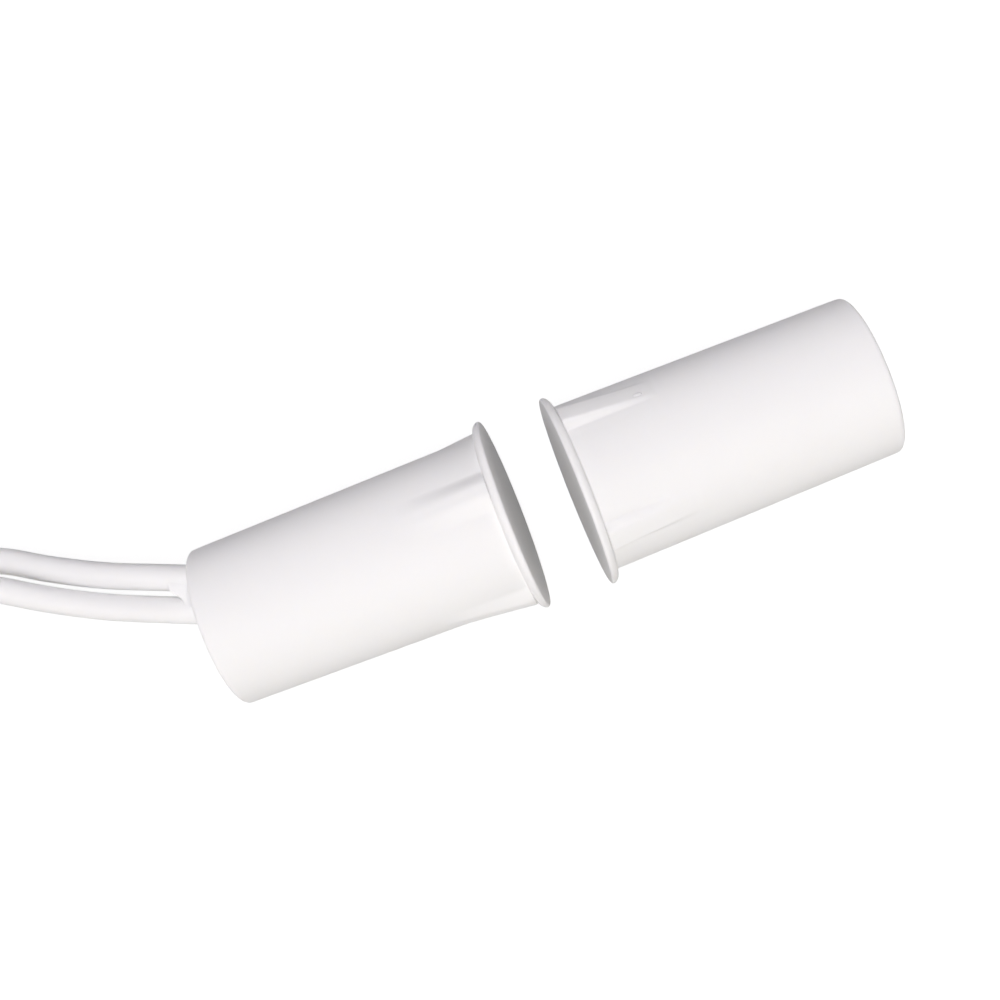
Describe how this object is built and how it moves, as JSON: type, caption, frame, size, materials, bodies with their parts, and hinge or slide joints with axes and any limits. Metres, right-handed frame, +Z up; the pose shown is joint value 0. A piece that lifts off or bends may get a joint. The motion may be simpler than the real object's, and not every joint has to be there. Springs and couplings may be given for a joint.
{
  "type": "recessed magnetic contact",
  "caption": "Press-fit door contact: a reed switch in a flanged round shell with wire leads, and a magnet in a matching shell, lying face to face on a table",
  "frame": {"origin": "on the table, bottom centre of the two halves together, with the leads left out", "axes": "+X along the pair from the switch half to the magnet half, +Y sideways on the table, +Z up"},
  "size_m": [0.0986, 0.0149, 0.0105],
  "materials": {
    "white_abs": "satin moulded",
    "white_compound": "smooth cast",
    "white_pvc": "satin extruded",
    "white_nylon": "satin moulded",
    "green_glass": "clear",
    "reed_alloy": "satin",
    "solder": "bright",
    "copper": "bright",
    "tinned_copper": "bright",
    "magnet_alloy": "ground"
  },
  "bodies": {
    "root": {"switch_housing": "white_abs", "potting_compound": "white_compound", "reed_glass": "green_glass", "reed_blade_front": "reed_alloy", "reed_blade_rear": "reed_alloy", "solder_joint_front": "solder", "solder_joint_rear": "solder", "lead_1_core": "copper", "lead_2_core": "copper", "lead_1": "white_pvc", "lead_2": "white_pvc", "lead_1_hank": "white_pvc", "lead_2_hank": "white_pvc", "hank_tie": "white_nylon", "lead_1_tail": "white_pvc", "lead_2_tail": "white_pvc", "lead_1_tip": "tinned_copper", "lead_2_tip": "tinned_copper", "magnet_housing": "white_abs", "magnet_rod": "magnet_alloy", "magnet_adhesive": "white_compound"}
  },
  "joints": []
}
